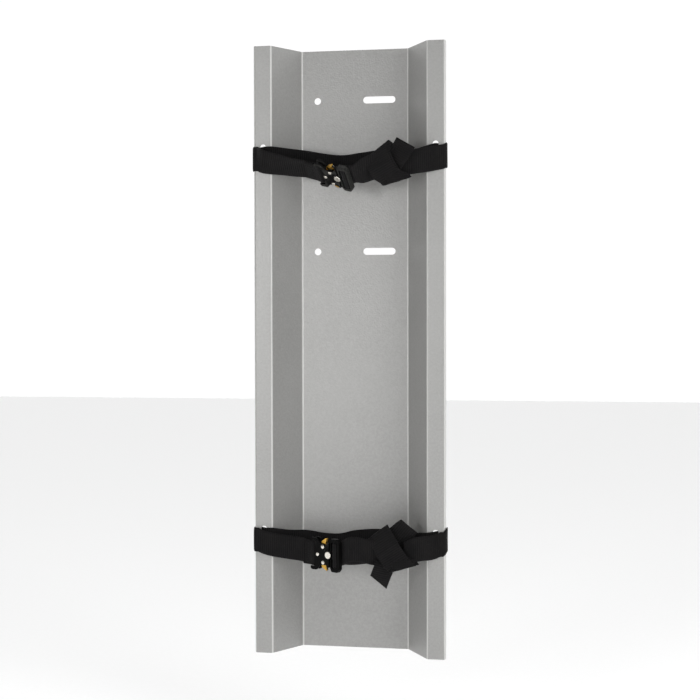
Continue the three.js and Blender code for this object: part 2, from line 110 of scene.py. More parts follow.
# ---- the webbing's route: stations are [x, y, z, roll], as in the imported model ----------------
# slot_z is the strap's height at both slots; lip_z its heights at each lip, first on the flange's
# front and then on the lip's side, left lip first.
LEVELS = {
    "upper": {
        "seed": 5,
        "sewn_end": 22,
        "left_run": [
            [-48, -49.5, 193.4, 51], [-59, -50.5, 194.8, 46], [-70, -51, 197.2, 39],
            [-82, -51, 199.4, 31], [-92, -49.6, 202, 16],
        ],
        "slot_z": 205,
        "lip_z": [[205, 205], [203.4, 205.7]],
        "inner_run": [
            [-67, -35, 203.4, 4], [-47, -31.6, 201, 6], [-29, -31, 197.8, 8], [-8, -31, 195.6, 8],
            [12, -31, 197.8, 7], [36, -31, 200.4, 5], [67, -35, 199.4, 2],
        ],
        "right_run": [
            [98.2, -45, 203, 0], [91, -46.6, 201.6, 1], [83, -49.5, 200, 1], [73, -54.5, 198.2, 0],
            [58, -57, 197, 0],
        ],
        "front_run": [
            [[18, -64.6, 188.2, 30], [24.5, -63.8, 190.8, 16], [31, -62.6, 193, 6], [46, -60.6, 194.6, 4]],
            [[18, -63, 187.4, 29], [24.5, -62, 189.8, 15], [31, -60.8, 192, 6], [44, -58.8, 193, 4]],
        ],
    },
    "lower": {
        "seed": 6,
        "sewn_end": 16,
        "left_run": [
            [-51, -42.3, -212.2, 4], [-61, -43.2, -210.8, 5], [-74, -45.6, -208.8, 6],
            [-86, -47.2, -206.6, 5], [-94, -46.7, -204.2, 2],
        ],
        "slot_z": -202.6,
        "lip_z": [[-202.6, -202.6], [-203, -198.6]],
        "inner_run": [
            [-67, -35, -205.6, 2], [-47, -31.6, -205.8, 3], [-29, -31, -208.4, 5],
            [-12, -31, -208.6, 5], [4, -31, -204.8, 3], [30, -31, -202.8, 2], [67, -35, -205.4, 0],
        ],
        "right_run": [
            [98.2, -45, -202.4, 0], [92, -46.6, -205, 0], [87, -49, -206, 0], [79, -53.5, -206.2, 0],
            [70, -57, -207.8, 0], [61, -58, -212, 0],
        ],
        "front_run": [
            [[3, -67.2, -207.4, 2], [10, -66.8, -206.6, 2], [19, -65.4, -208, 3], [28, -62.8, -210.4, 4],
             [42, -60.6, -211.5, 4]],
            [[3, -65.6, -210.4, 2], [10, -65.2, -210.2, 2], [19, -63.8, -209.4, 3], [28.4, -61.2, -208.6, 4],
             [42, -59.4, -208, 4]],
        ],
    },
}
# The strip of webbing round the adjuster's crossbar, in the buckle's frame: along, out of its face, up.
# Its two ends leave the frame a little above its middle.
LAYERS = {"end": 19.0, "near": -3.8, "far": -5.45, "lift": 4.5}
ADJUSTER_FOLD = [
    [LAYERS["end"], LAYERS["near"], LAYERS["lift"]], [15.4, LAYERS["near"], 1.6], [14.1, -3.3, 0.6],
    [13.4, -2, 0], [13.3, 0.2, 0], [12.9, 1.5, 0], [11.9, 2.1, 0], [10.6, 2.15, 0], [9.4, 2.1, 0],
    [8.3, 1.5, 0], [8, 0.3, 0], [8, -2.6, 0], [8.4, -4.2, 0.1], [9.8, -5.2, 0.5],
    [12.5, LAYERS["far"], 1.4], [LAYERS["end"], LAYERS["far"], LAYERS["lift"] - 1],
]


# ---- materials -----------------------------------------------------------------------------
class Shader:
    """A material's node tree, with short calls to add and join nodes."""

    def __init__(self, name, **numbers):
        self.material = bpy.data.materials.new(name)
        self.material.use_nodes = True
        self.tree = self.material.node_tree
        self.surface = self.tree.nodes["Principled BSDF"]
        for socket, value in numbers.items():
            self.surface.inputs[socket.replace("_", " ")].default_value = value

    def add(self, kind, **settings):
        node = self.tree.nodes.new("ShaderNode" + kind)
        for key, value in settings.items():
            if hasattr(node, key):
                setattr(node, key, value)
            else:
                node.inputs[key.replace("_", " ")].default_value = value
        return node

    def link(self, source, target):
        self.tree.links.new(source, target)

    def math(self, operation, first, second=None):
        node = self.add("Math", operation=operation)
        for socket, value in zip(node.inputs, (first, second)):
            if isinstance(value, (int, float)):
                socket.default_value = value
            elif value is not None:
                self.link(value, socket)
        return node.outputs[0]

    def place(self, scale=(1, 1, 1)):
        """Coordinates in the object's own frame, stretched by scale."""
        mapping = self.add("Mapping")
        mapping.inputs["Scale"].default_value = scale
        self.link(self.add("TexCoord").outputs["Object"], mapping.inputs["Vector"])
        return mapping.outputs["Vector"]

    def noise(self, scale, detail=3, roughness=0.55, where=None):
        node = self.add("TexNoise", Scale=scale, Detail=detail, Roughness=roughness)
        self.link(where or self.place(), node.inputs["Vector"])
        return node.outputs["Fac"]

    def spread(self, value, low, high, start=0.3, end=0.7):
        """Maps value from start..end to low..high."""
        node = self.add("MapRange")
        for socket, number in zip(("From Min", "From Max", "To Min", "To Max"), (start, end, low, high)):
            node.inputs[socket].default_value = number
        self.link(value, node.inputs["Value"])
        return node.outputs["Result"]

    def blend(self, amount, first, second):
        """Mixes two colours by amount and gives the result to the surface."""
        node = self.add("Mix", data_type="RGBA")
        self.link(amount, node.inputs["Factor"])
        for socket, colour in ((6, first), (7, second)):
            if isinstance(colour, (tuple, list)):
                node.inputs[socket].default_value = (*colour, 1)
            else:
                self.link(colour, node.inputs[socket])
        self.link(node.outputs[2], self.surface.inputs["Base Color"])
        return node.outputs[2]

    def bump(self, height, strength, distance, after=None):
        node = self.add("Bump", Strength=strength, Distance=distance)
        self.link(height, node.inputs["Height"])
        if after:
            self.link(after, node.inputs["Normal"])
        self.link(node.outputs["Normal"], self.surface.inputs["Normal"])
        return node.outputs["Normal"]

    def gloss(self, value, low, high):
        self.link(self.spread(value, low, high), self.surface.inputs["Roughness"])


def hammertone_paint():
    """Hammered stove enamel: fine shallow dents, aluminium flecks, a soft sheen and painted highlights along
    the bends.
    """
    shader = Shader("grey_hammertone_paint", Metallic=0.3, Coat_Weight=0.15, Coat_Roughness=0.35)
    broad = shader.noise(9, 2)
    flakes = shader.noise(2600, 2)
    mottle = shader.noise(420, 3, 0.6)
    tone = shader.blend(shader.spread(broad, 0, 1), (0.33, 0.328, 0.32), (0.357, 0.355, 0.347))
    tone = shader.blend(shader.spread(mottle, 0, 0.6, 0.35, 0.7), tone, (0.415, 0.413, 0.405))
    tone = shader.blend(shader.spread(flakes, 0, 0.16, 0.45, 0.75), tone, (0.62, 0.62, 0.61))
    parts = shader.add("SeparateXYZ")
    shader.link(shader.place(), parts.inputs["Vector"])
    across = shader.math("ABSOLUTE", parts.outputs["X"])
    # painted highlight: a pale line on the paint along each bend, where the bends catch the light
    for fold in HIGHLIGHT_FOLDS:
        away = shader.math("ABSOLUTE", shader.math("SUBTRACT", across, fold * MM))
        tone = shader.blend(shader.spread(away, 0.7, 0, 0.0004, 0.0011), tone, (0.78, 0.78, 0.76))
    cells = shader.add("TexVoronoi", feature="SMOOTH_F1", Scale=620, Smoothness=0.7, Randomness=1.0)
    shader.link(shader.place(), cells.inputs["Vector"])
    dents = shader.bump(cells.outputs["Distance"], 0.3, 0.0004)
    shader.bump(shader.noise(620, 2, 0.5), 0.16, 0.0004, after=dents)
    shader.gloss(shader.noise(700, 2), 0.4, 0.5)
    return shader.material


def black_webbing():
    """Plain-woven polyester: cross ribs, fine warp yarns and a worn, uneven surface."""
    shader = Shader(
        "black_webbing", Sheen_Weight=0.04, Sheen_Roughness=0.5, Roughness=0.85, Specular_IOR_Level=0.12,
    )
    uv = shader.add("UVMap", uv_map="cloth")
    parts = shader.add("SeparateXYZ")
    shader.link(uv.outputs["UV"], parts.inputs["Vector"])
    along, across = parts.outputs["X"], parts.outputs["Y"]
    turn = 2 * math.pi
    yarn = shader.math("SINE", shader.math("MULTIPLY", across, turn / (YARN_PITCH * MM)))
    rib = shader.math("SINE", shader.math("MULTIPLY", along, turn / (RIB_PITCH * MM)))
    pick = shader.math("SINE", shader.math("MULTIPLY", along, turn / (PICK_PITCH * MM)))
    weave = shader.math("MULTIPLY", yarn, pick)
    relief = shader.math("ADD", shader.math("MULTIPLY", weave, 0.5), shader.math("MULTIPLY", rib, 0.5))
    fuzz = shader.noise(1900, 4, 0.7)
    height = shader.math("ADD", relief, shader.math("MULTIPLY", fuzz, 0.9))
    shader.bump(height, 0.6, 0.00026)
    wear_and_edge_highlight = shader.noise(55, 4, 0.65)
    tone = shader.blend(shader.spread(wear_and_edge_highlight, 0, 1), (0.0035, 0.0035, 0.0039), (0.0085, 0.0078, 0.0078))
    # painted highlights and shade: the raised yarns and ribs are lighter and the hollows between them
    # darker, following the relief
    shader.blend(shader.spread(relief, 0, 0.8, -0.2, 0.9), tone, (0.0165, 0.0155, 0.016))
    return shader.material


def black_thread():
    """Spun polyester sewing thread."""
    shader = Shader("black_thread", Roughness=0.6, Specular_IOR_Level=0.2)
    shader.blend(shader.spread(shader.noise(900, 2), 0, 1), (0.005, 0.005, 0.0055), (0.012, 0.0115, 0.012))
    shader.bump(shader.noise(4200, 2), 0.4, 0.0001)
    return shader.material


def metal(name, dark, light, rough, bump, grain=(1, 1, 1), wear_and_edge_highlight=None, **numbers):
    """A metal or anodised finish with fine grain, faint smears, uneven gloss and a painted highlight on its
    edges.
    """
    shader = Shader(name, **numbers)
    where = shader.place(scale=grain)
    tone = shader.blend(shader.spread(shader.noise(160, 4, 0.6), 0, 1), dark, light)
    if wear_and_edge_highlight:
        # painted highlight: the given colour lightens the sharp edges, where the bevels catch the light
        edges = shader.spread(shader.add("NewGeometry").outputs["Pointiness"], 0, 1, 0.56, 0.66)
        patchy = shader.spread(shader.noise(700, 3, 0.6), 0.3, 1, 0.35, 0.6)
        shader.blend(shader.math("MULTIPLY", edges, patchy), tone, wear_and_edge_highlight)
    shader.gloss(shader.noise(260, 4, 0.7), *rough)
    shader.bump(shader.noise(1500, 3, 0.6, where), bump, 0.0001)
    return shader.material


MATERIALS = {
    "grey_hammertone_paint": hammertone_paint(),
    "black_webbing": black_webbing(),
    "thread": black_thread(),
    "black_metal": metal(
        "black_metal", (0.002, 0.002, 0.0022), (0.004, 0.0039, 0.0037), (0.34, 0.46), 0.16,
        # a pale colour for the painted highlight on the edges
        wear_and_edge_highlight=(0.035, 0.035, 0.033), Specular_IOR_Level=0.06,
    ),
    "gold_metal": metal(
        "gold_metal", (0.60, 0.33, 0.05), (0.80, 0.50, 0.12), (0.2, 0.36), 0.12, (1, 8, 1), Metallic=1.0,
    ),
    "silver_metal": metal(
        "silver_metal", (0.78, 0.74, 0.66), (0.92, 0.89, 0.82), (0.16, 0.3), 0.1, Metallic=1.0,
    ),
    "plain_steel": metal(
        "plain_steel", (0.34, 0.34, 0.35), (0.5, 0.5, 0.5), (0.26, 0.42), 0.2, (1, 1, 12), Metallic=1.0,
    ),
    "pale_floor": metal("pale_floor", (0.95, 0.95, 0.95), (0.97, 0.97, 0.97), (0.75, 0.85), 0.02),
}


# ---- meshes --------------------------------------------------------------------------------
def finish_mesh(name, mesh, finish, body, replaced=(), sharp=50):
    """Makes the piece: its material, smooth shading and the body it rides on, and hides the imported parts
    it stands for.
    """
    for face in mesh.polygons:
        face.use_smooth = True
    mesh.set_sharp_from_angle(angle=math.radians(sharp))
    mesh.materials.clear()
    mesh.materials.append(MATERIALS[finish])
    piece = bpy.data.objects.new(name, mesh)
    bpy.context.scene.collection.objects.link(piece)
    if body:
        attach(piece, body)
    if replaced:
        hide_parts(*replaced)
    return piece


def body_of(node):
    """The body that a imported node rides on."""
    bodies = frame["record"]["behaviour"]["bodies"]
    return next(body for body, members in bodies.items() if node in members)


def refined(node, finish, rounding, segments=2, sharp=35):
    """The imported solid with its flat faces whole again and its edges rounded."""
    shape = bmesh.new()
    shape.from_mesh(frame["nodes"][node].data)
    bmesh.ops.remove_doubles(shape, verts=shape.verts, dist=1e-6)
    bmesh.ops.dissolve_limit(
        shape, angle_limit=math.radians(2), verts=shape.verts, edges=shape.edges
    )
    edges = [e for e in shape.edges if len(e.link_faces) == 2 and e.calc_face_angle() > math.radians(sharp)]
    bmesh.ops.bevel(
        shape, geom=edges, offset=rounding * MM, offset_type="OFFSET", segments=segments,
        profile=0.6, affect="EDGES", clamp_overlap=True,
    )
    bmesh.ops.recalc_face_normals(shape, faces=shape.faces)
    mesh = bpy.data.meshes.new(node + "_piece")
    shape.to_mesh(mesh)
    shape.free()
    piece = finish_mesh(node + "_piece", mesh, finish, body_of(node), [node])
    flat = piece.modifiers.new("flat_faces", "WEIGHTED_NORMAL")
    flat.keep_sharp = True
    flat.weight = 100
    return piece


def turned(node, profile, matrix, finish, sides=48):
    """A round piece: profile is [radius, height] from the lower pole to the upper one, in mm."""
    shape = bmesh.new()
    rings = []
    for radius, height in profile:
        if radius == 0:
            rings.append([shape.verts.new(matrix @ Vector((0, 0, height * MM)))])
            continue
        ring = []
        for k in range(sides):
            turn = 2 * math.pi * k / sides
            point = Vector((radius * math.cos(turn), radius * math.sin(turn), height)) * MM
            ring.append(shape.verts.new(matrix @ point))
        rings.append(ring)
    for lower, upper in zip(rings, rings[1:]):
        for k in range(sides):
            corners = [lower[k % len(lower)], lower[(k + 1) % len(lower)]]
            corners += [upper[(k + 1) % len(upper)], upper[k % len(upper)]]
            shape.faces.new(list(dict.fromkeys(corners)))
    bmesh.ops.recalc_face_normals(shape, faces=shape.faces)
    mesh = bpy.data.meshes.new(node + "_piece")
    shape.to_mesh(mesh)
    shape.free()
    return finish_mesh(node + "_piece", mesh, finish, body_of(node), [node], sharp=40)


def unit(vectors):
    return vectors / np.linalg.norm(vectors, axis=-1, keepdims=True)


def through(points, per_span=12):
    """A smooth line through the points, whose first three numbers are a place."""
    p = np.array(points, float)
    p = np.vstack([2 * p[0] - p[1], p, 2 * p[-1] - p[-2]])
    line = []
    for a, b, c, d in zip(p, p[1:], p[2:], p[3:]):
        g0, g1, g2 = (np.linalg.norm(v[:3]) ** 0.5 for v in (b - a, c - b, d - c))
        start = ((b - a) / g0 - (c - a) / (g0 + g1) + (c - b) / g1) * g1
        end = ((c - b) / g1 - (d - b) / (g1 + g2) + (d - c) / g2) * g1
        for k in range(per_span):
            t = k / per_span
            line.append(
                b + start * t + (3 * (c - b) - 2 * start - end) * t**2 + (2 * (b - c) + start + end) * t**3
            )
    line.append(p[-2])
    return np.array(line)


def tipped(roll):
    """Which way upright webbing's width points when its upper edge tips forward by roll degrees."""
    turn = np.radians(roll)
    return np.stack([np.zeros_like(turn), -np.sin(turn), np.cos(turn)], axis=-1)


def with_up(stations):
    """Stations [x, y, z, roll] as rows [x, y, z, and the width's direction]."""
    rows = np.array(stations, float)
    return np.hstack([rows[:, :3], tipped(rows[:, 3])])


class Route:
    """Webbing along a line: rows are a place and the width's direction there."""

    def __init__(self, rows, soften=1.2, wander=0.0, seed=0):
        rows = np.array(rows, float)
        steps = np.linalg.norm(np.diff(rows[:, :3], axis=0), axis=1)
        rows = rows[np.concatenate([[True], steps > 1e-6])]
        reach = np.concatenate([[0], np.cumsum(np.linalg.norm(np.diff(rows[:, :3], axis=0), axis=1))])
        count = int(reach[-1] / ROUTE_STEP) + 1
        even = np.linspace(0, reach[-1], count)
        rows = np.stack([np.interp(even, reach, rows[:, k]) for k in range(6)], axis=1)
        rows = self.softened(rows, soften / ROUTE_STEP)
        self.reach = np.concatenate([[0], np.cumsum(np.linalg.norm(np.diff(rows[:, :3], axis=0), axis=1))])
        self.length = self.reach[-1]
        self.rows = rows
        self.along = unit(np.gradient(rows[:, :3], self.reach, axis=0))
        self.wander = wander
        self.phases = np.random.default_rng(seed).uniform(0, 2 * math.pi, 5)

    @staticmethod
    def softened(rows, sigma):
        """The rows after a Gaussian blur along the line, with its ends kept in place."""
        reach = int(3 * sigma)
        kernel = np.exp(-0.5 * (np.arange(-reach, reach + 1) / sigma) ** 2)
        kernel /= kernel.sum()
        first, last = rows[:1], rows[-1:]
        before = 2 * first - rows[reach:0:-1]
        after = 2 * last - rows[-2:-reach - 2:-1]
        padded = np.vstack([before, rows, after])
        return np.stack([np.convolve(padded[:, k], kernel, "valid") for k in range(rows.shape[1])], axis=1)

    def place(self, s, t, h):
        """Points s along the strip, t across it and h out of its face."""
        def pick(table):
            return np.stack([np.interp(s, self.reach, table[:, k]) for k in range(3)], axis=1)

        at = pick(self.rows[:, :3])
        up = unit(pick(self.rows[:, 3:]))
        side = unit(np.cross(unit(pick(self.along)), up))
        if self.wander:
            a, b, c, d, e = self.phases
            fade = np.clip(np.minimum(s, self.length - s) / 12, 0, 1)
            h = h + self.wander * fade * (
                0.5 * np.sin(s / 7.1 + a) + 0.5 * np.sin(s / 11.7 + b)
                + t / HALF_WIDTH * np.sin(s / 9.3 + c) + (t / HALF_WIDTH) ** 2 * np.sin(s / 15.1 + d)
            )
            t = t + 0.8 * self.wander * fade * np.sin(s / 21 + e)
        return at + up * t[:, None] + side * h[:, None]


class Folded:
    """A flat strip of webbing laid in a plane and creased across at one or more lines.

    folds are (distance along the strip's middle, the crease's angle to it in degrees, +1 or -1 for
    a turn towards the front or the back). drift are the layers' heights along the strip, and sway how
    far it moves across. tilt is how far the strip has leaned over, in degrees, after TILT_REACH. cup is
    how far its two edges stand out of its middle.
    """

    def __init__(self, start, direction, folds, drift, length, sway=((0, 0),), tilt=0.0, cup=0.0, seed=0):
        turn = math.radians(direction)
        self.start = np.array(start, float)
        self.along = np.cos(turn) * RIGHT + np.sin(turn) * UP
        self.across = np.cross(FRONT, self.along)
        self.folds = folds
        self.drift = np.array(drift, float)
        self.sway = np.array(sway, float)
        self.length = length
        self.tilt = math.radians(tilt)
        self.cup = cup
        self.phases = np.random.default_rng(seed).uniform(0, 2 * math.pi, 3)

    def place(self, s, t, h):
        """Points s along the strip, t across it and h out of its face, folded from the far crease back."""
        a, b, c = self.phases
        ripple = 0.22 * np.sin(s / 6.3 + a) * t / HALF_WIDTH
        ripple = ripple + 0.18 * np.sin(s / 8.9 + b) + 0.15 * np.sin(t / 4.1 + c)
        height = h + self.cup * (t / HALF_WIDTH) ** 2
        x, y, z = s.copy(), t + np.interp(s, self.sway[:, 0], self.sway[:, 1]), height.copy()
        radius = FOLD
        reach = math.pi * radius / 2
        for at, angle, way in reversed(self.folds):
            lean = math.radians(angle)
            nx, ny = math.sin(lean), -math.cos(lean)
            flat = (s - at) * nx + t * ny
            now = (x - at) * nx + y * ny
            beyond = flat > reach
            bending = np.abs(flat) <= reach
            turn = np.clip((flat + reach) / radius, 0, math.pi)
            new = np.where(beyond, -now, np.where(bending, -reach + (radius - way * z) * np.sin(turn), now))
            new_z = np.where(
                beyond, 2 * radius * way - z,
                np.where(bending, way * (radius - (radius - way * z) * np.cos(turn)), z),
            )
            x, y, z = x + (new - now) * nx, y + (new - now) * ny, new_z
        rise = np.interp(s, self.drift[:, 0], self.drift[:, 1]) + ripple
        lean = self.tilt * np.clip(s / TILT_REACH, 0, 1)
        sine, cosine = np.sin(lean), np.cos(lean)
        sideways, forward = y * cosine - z * sine, y * sine + z * cosine + rise
        return (
            self.start + x[:, None] * self.along + sideways[:, None] * self.across
            + forward[:, None] * FRONT
        )


def cross_section(columns=16):
    """Points round the webbing's section: [across, out], and which face each belongs to."""
    turn = np.linspace(-math.pi / 2, math.pi / 2, columns + 1)
    t = HALF_WIDTH * (0.25 * np.sin(turn) + 0.75 * np.linspace(-1, 1, columns + 1))
    depth = np.clip((np.abs(t) - (HALF_WIDTH - EDGE_ROUND)) / EDGE_ROUND, 0, 0.97)
    thick = WEB_HALF * np.sqrt(1 - depth**2)
    upper = np.stack([t, thick, np.ones_like(t)], axis=1)
    lower = np.stack([t, -thick, -np.ones_like(t)], axis=1)[::-1]
    return np.vstack([upper, lower])


def webbing(name, route, body, replaced=(), blend=None, slant=0.0):
    """A closed ribbon of ribbed webbing on a route; slant is how far its far end is cut askew."""
    count = int(route.length / RIB_STEP) + 1
    stations = np.linspace(0, route.length, count)
    section = cross_section()
    m = len(section)
    s = np.repeat(stations, m)
    t = np.tile(section[:, 0], count)
    s = s + slant * t / HALF_WIDTH * np.clip(s / route.length, 0, 1)
    side = np.tile(section[:, 2], count)
    fade = np.clip((HALF_WIDTH - np.abs(t)) / 2.2, 0.15, 1)
    rib = RIB_HEIGHT * np.cos(2 * math.pi * (s / RIB_PITCH + 0.12 * np.abs(t) / HALF_WIDTH)) * fade
    h = np.tile(section[:, 1], count) + side * rib
    points = route.place(s, t, h) * MM
    faces = []
    for i in range(count - 1):
        for j in range(m):
            k = (j + 1) % m
            faces.append((i * m + j, i * m + k, (i + 1) * m + k, (i + 1) * m + j))
    for first, flip in ((0, False), ((count - 1) * m, True)):
        for j in range(m // 2 - 1):
            cap = [first + j, first + j + 1, first + m - 2 - j, first + m - 1 - j]
            faces.append(tuple(cap if flip else cap[::-1]))
    mesh = bpy.data.meshes.new(name)
    mesh.from_pydata([tuple(p) for p in points], [], faces)
    cloth = mesh.uv_layers.new(name="cloth")
    corner = np.empty(len(mesh.loops), int)
    mesh.loops.foreach_get("vertex_index", corner)
    cloth.data.foreach_set("uv", np.stack([s[corner], t[corner]], axis=1).astype(np.float32).ravel() * MM)
    shape = bmesh.new()
    shape.from_mesh(mesh)
    bmesh.ops.recalc_face_normals(shape, faces=shape.faces)
    shape.to_mesh(mesh)
    shape.free()
    piece = finish_mesh(name, mesh, "black_webbing", None if blend else body, replaced, sharp=80)
    if blend:
        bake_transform(piece)
    return piece


def stitches(name, route, runs, body):
    """Rows of thread on the webbing: runs are (s, t, s, t) from end to end, in mm."""
    length, gap, radius = 2.1, 0.7, 0.19
    shape = bmesh.new()
    for s0, t0, s1, t1 in runs:
        reach = math.hypot(s1 - s0, t1 - t0)
        count = max(1, round(reach / (length + gap)))
        for k in range(count):
            middle = (k + 0.5) / count
            rings = []
            for q, size in ((-1, 0.25), (-0.8, 0.8), (0, 1), (0.8, 0.8), (1, 0.25)):
                along = middle + q * length / 2 / reach
                s = np.full(6, s0 + (s1 - s0) * along)
                t = np.full(6, t0 + (t1 - t0) * along)
                turn = np.arange(6) * math.pi / 3
                lift = WEB_HALF + RIB_HEIGHT * 0.6 - 0.12 * q * q
                h = lift + radius * size * np.sin(turn)
                wide = radius * size * np.cos(turn) * 1.2
                s = s - wide * (t1 - t0) / reach
                t = t + wide * (s1 - s0) / reach
                rings.append([shape.verts.new(p) for p in route.place(s, t, h) * MM])
            for lower, upper in zip(rings, rings[1:]):
                for j in range(6):
                    shape.faces.new([lower[j], lower[(j + 1) % 6], upper[(j + 1) % 6], upper[j]])
            shape.faces.new(rings[0][::-1])
            shape.faces.new(rings[-1])
    bmesh.ops.recalc_face_normals(shape, faces=shape.faces)
    mesh = bpy.data.meshes.new(name)
    shape.to_mesh(mesh)
    shape.free()
    return finish_mesh(name, mesh, "thread", body, sharp=80)


# ---- the buckles -----------------------------------------------------------------------------
def buckle_frame(level):
    """The buckle's frame: x along it, y up, z out of its face, from its joints."""
    along = Vector(JOINTS[f"{level}_tongue_release"]["axis"])
    top = JOINTS[f"{level}_top_latch_pivot"]
    bottom = JOINTS[f"{level}_bottom_latch_pivot"]
    face = -Vector(top["axis"])
    up = face.cross(along)
    middle = (Vector(top["pos_m"]) + Vector(bottom["pos_m"])) / 2
    centre = middle - along * PIVOT_X * MM
    matrix = Matrix((along, up, face)).transposed().to_4x4()
    matrix.translation = centre
    return matrix


def domed(radius, head_from, head_to, shank, dish=0.0):
    """Half of a rivet's profile, from its waist to the crown, with a softly rounded head."""
    edge = 0.12
    shoulder = 0.72  # how much of the head's rise its rounded side takes up
    rise = head_to - head_from
    climb = rise - edge
    inset = 0.5 * rise
    steps = 6
    profile = [[shank, 0], [shank, head_from], [radius - edge, head_from], [radius, head_from + edge]]
    for k in range(1, steps + 1):
        turn = math.pi / 2 * k / steps
        height = head_from + edge + climb * shoulder * math.sin(turn)
        profile.append([radius - inset * (1 - math.cos(turn)), height])
    for k in range(1, steps):
        share = k / steps
        crown = shoulder + (1 - shoulder) * math.sin(share * math.pi / 2)
        height = head_from + edge + climb * crown
        profile.append([(radius - inset) * (1 - share), height - dish * share])
    profile.append([0, head_to - dish])
    return profile


def whole(half):
    """A rivet's whole profile from its upper half."""
    return [[radius, -height] for radius, height in reversed(half)] + half[1:]


def buckle(level):
    """The rigid pieces of one buckle; returns its frame."""
    matrix = buckle_frame(level)

    def moved(x, y):
        return matrix @ Matrix.Translation((x * MM, y * MM, 0))

    for side in ("front", "rear"):
        refined(f"{level}_buckle_{side}_plate", "black_metal", 0.5, 3)
    refined(f"{level}_adjuster_frame", "black_metal", 0.55, 3)
    refined(f"{level}_tongue", "plain_steel", 0.3)
    small = whole(domed(2.0, 4.3, 5.0, 1.0))
    turned(f"{level}_rear_rivet", small, moved(REAR_RIVET_X, 0), "silver_metal")
    for place, sign in (("top", 1), ("bottom", -1)):
        refined(f"{level}_{place}_latch", "gold_metal", 0.3)
        turned(f"{level}_{place}_pivot_rivet", small, moved(PIVOT_X, sign * PIVOT_Y), "silver_metal")
        refined(f"{level}_{place}_latch_spring", "plain_steel", 0.03, 1, sharp=60)
    disc = whole(domed(3.9, 3.3, 4.2, 2.2, dish=0.25))
    turned(f"{level}_disc_rivet", disc, moved(DISC_X, 0), "silver_metal", 64)
    end = [[0, BAR_REACH], [BAR_RADIUS - BAR_CHAMFER, BAR_REACH], [BAR_RADIUS, BAR_REACH - BAR_CHAMFER]]
    bar = [[radius, -height] for radius, height in end] + end[::-1]
    upright = Matrix.Rotation(math.radians(-90), 4, "X")
    turned(f"{level}_webbing_bar", bar, moved(BAR_X, 0) @ upright, "black_metal", 32)
    return matrix


# ---- the straps --------------------------------------------------------------------------------
def in_buckle(matrix, points):
    """Rows for points [along, out, up] in the buckle's frame, in mm; up may be left out."""
    up = np.array(matrix.col[1][:3])
    rows = []
    for x, z, *lift in points:
        place = matrix @ Vector((x * MM, sum(lift) * MM, z * MM))
        rows.append([*(np.array(place) / MM), *up])
    return np.array(rows)


def roll_of(matrix):
    """The roll of webbing that leaves the buckle lengthwise."""
    along, up = np.array(matrix.col[0][:3]), np.array(matrix.col[1][:3])
    up = up - along * up[0] / along[0]
    return math.degrees(math.atan2(-up[1], up[2]))


def bend(x, y, radius, start, stop, z, z_end, side=1, steps=10):
    """Rows round a bend seen from above, from height z to z_end."""
    turn = np.radians(np.linspace(start, stop, steps + 1))
    rows = np.zeros((steps + 1, 6))
    rows[:, 0] = side * (x + radius * np.cos(turn))
    rows[:, 1] = y + radius * np.sin(turn)
    rows[:, 2] = np.linspace(z, z_end, steps + 1)
    rows[:, 5] = 1
    return rows


def strap_route(level, matrix):
    """From the sewn end round the buckle's bar, out round both lips and back to the knot."""
    data = LEVELS[level]
    reach = BAR_RADIUS + GAP + WEB_CAD / 2
    layer = WEB_CAD / 2 + GAP / 2
    sewn = data["sewn_end"]
    loop = [[BAR_X - sewn, layer], [BAR_X - 8, layer + 0.1], [BAR_X - 3.6, layer + 0.9]]
    for turn in range(100, -101, -20):
        loop.append([
            BAR_X + reach * math.cos(math.radians(turn)), reach * math.sin(math.radians(turn)),
        ])
    loop += [[BAR_X - 3.6, -layer - 0.9], [BAR_X - 8, -layer - 0.1]]
    leave = in_buckle(matrix, [[BAR_X - sewn * 0.7, -layer]])[0]
    off = GAP + WEB_CAD / 2
    front_y = MOUTH - off
    cross_y = front_y - WEB_CAD - GAP - 0.6
    lip_left, lip_right = data["lip_z"]
    slot_z = data["slot_z"]

    def wrap(side, front_z, side_z):
        """Round the lip, from the flange's front to just behind the slot."""
        corner = bend(EDGE - LIP_BEND, MOUTH + LIP_BEND, LIP_BEND + off, -90, 0, front_z, side_z, side)
        rim = bend(EDGE - SHEET / 2, MOUTH + LIP, SHEET / 2 + off, 0, 150, side_z, slot_z, side)
        return np.vstack([corner, rim])

    def emerge(side, z_next):
        """Out through the slot towards the middle, where it lies at z_next."""
        drop = z_next - slot_z
        points = [
            [0.6, MOUTH + 1.6, slot_z], [-0.2, MOUTH - 0.1, slot_z + 0.05 * drop],
            [-1.7, front_y + 0.1, slot_z + 0.2 * drop], [-4.4, front_y - 0.25, slot_z + 0.5 * drop],
        ]
        return np.array([[side * (SLOT_X + x), y, height, 0, 0, 1] for x, y, height in points])

    left = [[*leave[:3], roll_of(matrix)], *data["left_run"], [-EDGE + 4.6, cross_y + 0.7, lip_left[0], 0]]
    near_x = SLOT_X - 9.6
    near_y = front_y - 0.2
    right_z = (slot_z + data["inner_run"][-1][2]) / 2
    inner = [[-near_x, near_y, slot_z, 0], *data["inner_run"], [near_x, near_y, right_z, 0]]
    rows = np.vstack([
        in_buckle(matrix, loop), with_up(through(left)), wrap(-1, *lip_left), emerge(-1, slot_z),
        with_up(through(inner)), emerge(1, right_z)[::-1], wrap(1, *lip_right)[::-1],
        with_up(through(data["right_run"])),
    ])
    return Route(rows, soften=0.8, wander=0.18, seed=data["seed"])


